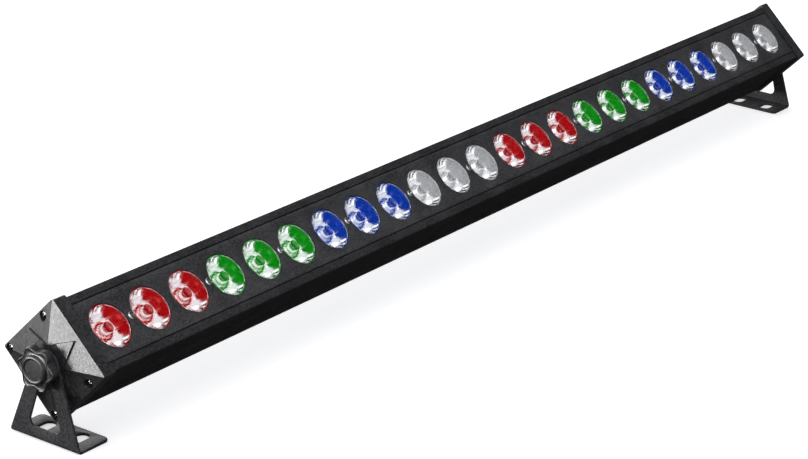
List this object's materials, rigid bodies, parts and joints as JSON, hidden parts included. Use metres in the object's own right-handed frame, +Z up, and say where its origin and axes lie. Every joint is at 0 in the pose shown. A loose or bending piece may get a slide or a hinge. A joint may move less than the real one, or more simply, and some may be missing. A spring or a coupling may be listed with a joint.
{
  "type": "led strip batten",
  "caption": "Long bar light: a square black extrusion with a row of round coloured lenses along its face, pyramid end caps and two foot brackets clamped by lobed knobs.",
  "frame": {"origin": "on the floor, midway between the two feet, under the pivot line of the light head", "axes": "+X along the bar, from its left end to its right end seen from the lens side; -Y towards the side the lenses face; +Z up"},
  "size_m": [1.0306, 0.084, 0.0964],
  "materials": {
    "housing_black": "matt black powder coat",
    "panel_black": "matt black powder coat, fine grain",
    "cap_plastic": "black moulded plastic, fine spark texture",
    "bracket_steel": "satin black paint",
    "knob_plastic": "black moulded plastic, satin",
    "screw_steel": "bright zinc plate",
    "washer_rubber": "matt",
    "lens_red": "red moulded optic, polished",
    "lens_green": "green moulded optic, polished",
    "lens_blue": "blue moulded optic, polished",
    "lens_white": "clear moulded optic, polished",
    "led_board": "white solder mask",
    "circuit_board": "green solder mask",
    "supply_case": "plain sheet",
    "display_smoked": "smoked, polished",
    "button_rubber": "matt",
    "socket_plastic": "black moulded plastic",
    "latch_metal": "bright"
  },
  "bodies": {
    "light_head": {"housing": "housing_black", "front_panel": "panel_black", "lens_01": "lens_red", "lens_02": "lens_red", "lens_03": "lens_red", "lens_04": "lens_green", "lens_05": "lens_green", "lens_06": "lens_green", "lens_07": "lens_blue", "lens_08": "lens_blue", "lens_09": "lens_blue", "lens_10": "lens_white", "lens_11": "lens_white", "lens_12": "lens_white", "lens_13": "lens_red", "lens_14": "lens_red", "lens_15": "lens_red", "lens_16": "lens_green", "lens_17": "lens_green", "lens_18": "lens_green", "lens_19": "lens_blue", "lens_20": "lens_blue", "lens_21": "lens_blue", "lens_22": "lens_white", "lens_23": "lens_white", "lens_24": "lens_white", "led_board_left": "led_board", "led_board_right": "led_board", "end_cap_left": "cap_plastic", "friction_washer_left": "washer_rubber", "cap_screw_left_front_top": "screw_steel", "cap_screw_left_front_low": "screw_steel", "cap_screw_left_rear_top": "screw_steel", "cap_screw_left_rear_low": "screw_steel", "end_cap_right": "cap_plastic", "friction_washer_right": "washer_rubber", "cap_screw_right_front_top": "screw_steel", "cap_screw_right_front_low": "screw_steel", "cap_screw_right_rear_top": "screw_steel", "cap_screw_right_rear_low": "screw_steel", "power_supply": "supply_case", "control_board": "circuit_board", "control_plate": "panel_black", "display_window": "display_smoked", "power_inlet": "socket_plastic", "dmx_in": "socket_plastic", "dmx_out": "socket_plastic"},
    "left_bracket": {"bracket_left": "bracket_steel"},
    "left_knob": {"knob_left": "knob_plastic", "knob_bolt_left": "screw_steel"},
    "right_bracket": {"bracket_right": "bracket_steel"},
    "right_knob": {"knob_right": "knob_plastic", "knob_bolt_right": "screw_steel"},
    "menu_key_1": {"menu_button_1": "button_rubber"},
    "menu_key_2": {"menu_button_2": "button_rubber"},
    "menu_key_3": {"menu_button_3": "button_rubber"},
    "menu_key_4": {"menu_button_4": "button_rubber"},
    "fuse_turn_cap": {"fuse_cap": "socket_plastic"},
    "latch_tab": {"dmx_latch": "latch_metal"}
  },
  "joints": [
    {"name": "left_bracket_swing", "type": "hinge", "parent": "light_head", "child": "left_bracket", "pos_m": [-0.5023, 0, 0.0545], "axis": [1, 0, 0], "continuous": true},
    {"name": "right_bracket_swing", "type": "hinge", "parent": "light_head", "child": "right_bracket", "pos_m": [0.5023, 0, 0.0545], "axis": [1, 0, 0], "continuous": true},
    {"name": "left_knob_turn", "type": "hinge", "parent": "light_head", "child": "left_knob", "pos_m": [-0.51, 0, 0.0545], "axis": [-1, 0, 0], "range_deg": [0, 540]},
    {"name": "right_knob_turn", "type": "hinge", "parent": "light_head", "child": "right_knob", "pos_m": [0.51, 0, 0.0545], "axis": [1, 0, 0], "range_deg": [0, 540]},
    {"name": "menu_key_1_press", "type": "slide", "parent": "light_head", "child": "menu_key_1", "axis": [0, -0.6785, 0.7346], "range_m": [0, 0.0008], "stiffness_N_per_m": 600, "springref_m": -0.0008},
    {"name": "menu_key_2_press", "type": "slide", "parent": "light_head", "child": "menu_key_2", "axis": [0, -0.6785, 0.7346], "range_m": [0, 0.0008], "stiffness_N_per_m": 600, "springref_m": -0.0008},
    {"name": "menu_key_3_press", "type": "slide", "parent": "light_head", "child": "menu_key_3", "axis": [0, -0.6785, 0.7346], "range_m": [0, 0.0008], "stiffness_N_per_m": 600, "springref_m": -0.0008},
    {"name": "menu_key_4_press", "type": "slide", "parent": "light_head", "child": "menu_key_4", "axis": [0, -0.6785, 0.7346], "range_m": [0, 0.0008], "stiffness_N_per_m": 600, "springref_m": -0.0008},
    {"name": "fuse_cap_turn", "type": "hinge", "parent": "light_head", "child": "fuse_turn_cap", "pos_m": [-0.222, 0.02036, 0.03246], "axis": [0, 0.6785, -0.7346], "range_deg": [0, 60]},
    {"name": "latch_press", "type": "slide", "parent": "light_head", "child": "latch_tab", "axis": [0, -0.6785, 0.7346], "range_m": [0, 0.0012], "stiffness_N_per_m": 600, "springref_m": -0.0008}
  ]
}
